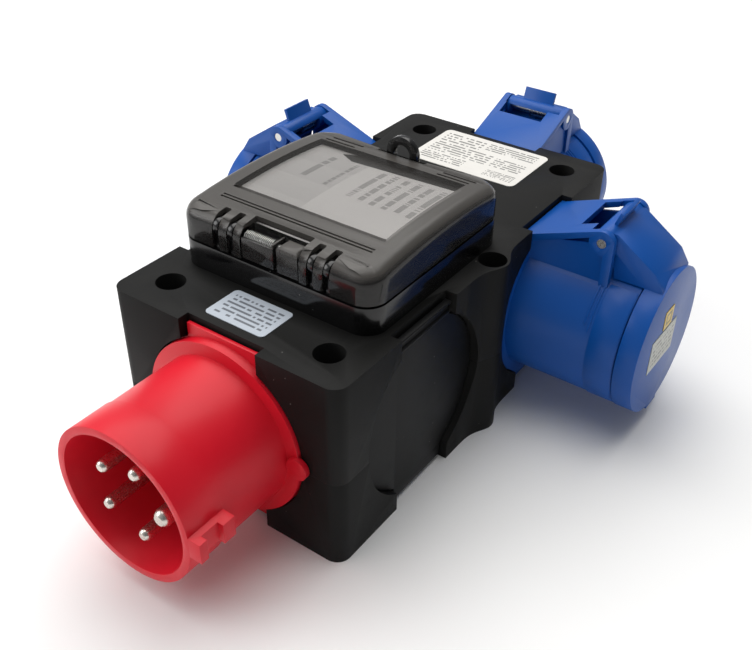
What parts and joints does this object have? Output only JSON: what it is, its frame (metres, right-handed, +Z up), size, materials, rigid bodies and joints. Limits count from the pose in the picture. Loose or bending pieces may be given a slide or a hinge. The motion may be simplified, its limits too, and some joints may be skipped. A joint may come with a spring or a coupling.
{
  "type": "portable power distribution box",
  "caption": "Portable power distribution box: moulded case with a pin inlet, spring-lidded sockets and a smoked inspection lid over the protective device.",
  "frame": {"origin": "middle of the flat underside of the case", "axes": "+Z up from the base; -Y out of the pin inlet, +Y towards the rear socket; +X towards the right-hand socket"},
  "size_m": [0.2241, 0.3157, 0.1168],
  "materials": {
    "case_black": "fine spark-eroded texture, dull black",
    "plate_black": "dull black",
    "seal_rubber": "matt",
    "screw_steel": "zinc plated",
    "red_shell": "satin signal red",
    "red_carrier": "satin red",
    "pin_nickel": "nickel plated, bright",
    "blue_housing": "satin signal blue",
    "blue_lid": "satin signal blue",
    "blue_carrier": "satin blue",
    "contact_brass": "turned",
    "hinge_steel": "drawn",
    "spring_steel": "drawn wire",
    "sticker_silver": "silver foil sticker with marks",
    "frame_black": "satin black",
    "smoked_lid": "smoked, clear and glossy",
    "leaflet_paper": "printed paper",
    "rail_zinc": "zinc plated",
    "device_white": "satin light grey",
    "lever_blue": "satin",
    "button_ivory": "satin",
    "terminal_green": "satin",
    "terminal_blue": "satin",
    "wire_grey": "smooth",
    "wire_brown": "smooth",
    "wire_blue": "smooth",
    "wire_green": "smooth",
    "label_white": "white film with printed marks",
    "label_silver": "silver film with printed marks"
  },
  "bodies": {
    "box": {"blank_plate_left": "plate_black", "blank_plate_right": "plate_black", "case_screws": "screw_steel", "case_seal": "seal_rubber", "earth_terminal": "terminal_green", "earth_wires": "wire_green", "frame_screws": "screw_steel", "inlet_carrier": "red_carrier", "inlet_earth_pin": "pin_nickel", "inlet_housing": "red_shell", "inlet_phase_pins": "pin_nickel", "inlet_wires": "wire_grey", "lid_pin_left": "hinge_steel", "lid_pin_rear": "hinge_steel", "lid_pin_right": "hinge_steel", "lid_spring_left": "spring_steel", "lid_spring_rear": "spring_steel", "lid_spring_right": "spring_steel", "lower_shell": "case_black", "mounting_rail": "rail_zinc", "neutral_terminal": "terminal_blue", "neutral_wires": "wire_blue", "notice_label": "label_silver", "outlet_wires": "wire_brown", "position_gaskets": "seal_rubber", "rail_screws": "screw_steel", "rating_label": "label_white", "rcd_body": "device_white", "socket_carrier_left": "blue_carrier", "socket_carrier_rear": "blue_carrier", "socket_carrier_right": "blue_carrier", "socket_contacts_left": "contact_brass", "socket_contacts_rear": "contact_brass", "socket_contacts_right": "contact_brass", "socket_housing_left": "blue_housing", "socket_housing_rear": "blue_housing", "socket_housing_right": "blue_housing", "upper_shell": "case_black", "window_frame": "frame_black", "window_pin": "hinge_steel", "window_spring": "spring_steel"},
    "window": {"window_lid": "smoked_lid", "window_seal": "seal_rubber", "leaflet": "leaflet_paper"},
    "rcd_lever_body": {"rcd_lever": "lever_blue"},
    "rcd_button_body": {"rcd_test_button": "button_ivory"},
    "lid_right": {"socket_lid_right": "blue_lid", "lid_seal_right": "seal_rubber", "lid_label_right": "sticker_silver"},
    "lid_rear": {"socket_lid_rear": "blue_lid", "lid_seal_rear": "seal_rubber"},
    "lid_left": {"socket_lid_left": "blue_lid", "lid_seal_left": "seal_rubber"}
  },
  "joints": [
    {"name": "lid_hinge_right", "type": "hinge", "parent": "box", "child": "lid_right", "pos_m": [0.084, 0.0474, 0.0871], "axis": [0, -1, 0], "range_deg": [0, 95], "stiffness_Nm_per_rad": 0.02, "springref_deg": -28.65},
    {"name": "lid_hinge_rear", "type": "hinge", "parent": "box", "child": "lid_rear", "pos_m": [0, 0.1335, 0.0871], "axis": [1, 0, 0], "range_deg": [0, 95], "stiffness_Nm_per_rad": 0.02, "springref_deg": -28.65},
    {"name": "lid_hinge_left", "type": "hinge", "parent": "box", "child": "lid_left", "pos_m": [-0.084, 0.0474, 0.0871], "axis": [0, 1, 0], "range_deg": [0, 95], "stiffness_Nm_per_rad": 0.02, "springref_deg": -28.65},
    {"name": "window_hinge", "type": "hinge", "parent": "box", "child": "window", "pos_m": [0, -0.07, 0.1033], "axis": [1, 0, 0], "range_deg": [0, 100], "stiffness_Nm_per_rad": 0.02, "springref_deg": -34.38},
    {"name": "rcd_lever_turn", "type": "hinge", "parent": "box", "child": "rcd_lever_body", "pos_m": [0, -0.0288, 0.0895], "axis": [1, 0, 0], "range_deg": [-50, 0]},
    {"name": "rcd_test_press", "type": "slide", "parent": "box", "child": "rcd_button_body", "axis": [0, 0, -1], "range_m": [0, 0.0018], "stiffness_N_per_m": 150, "springref_m": -0.0006}
  ]
}
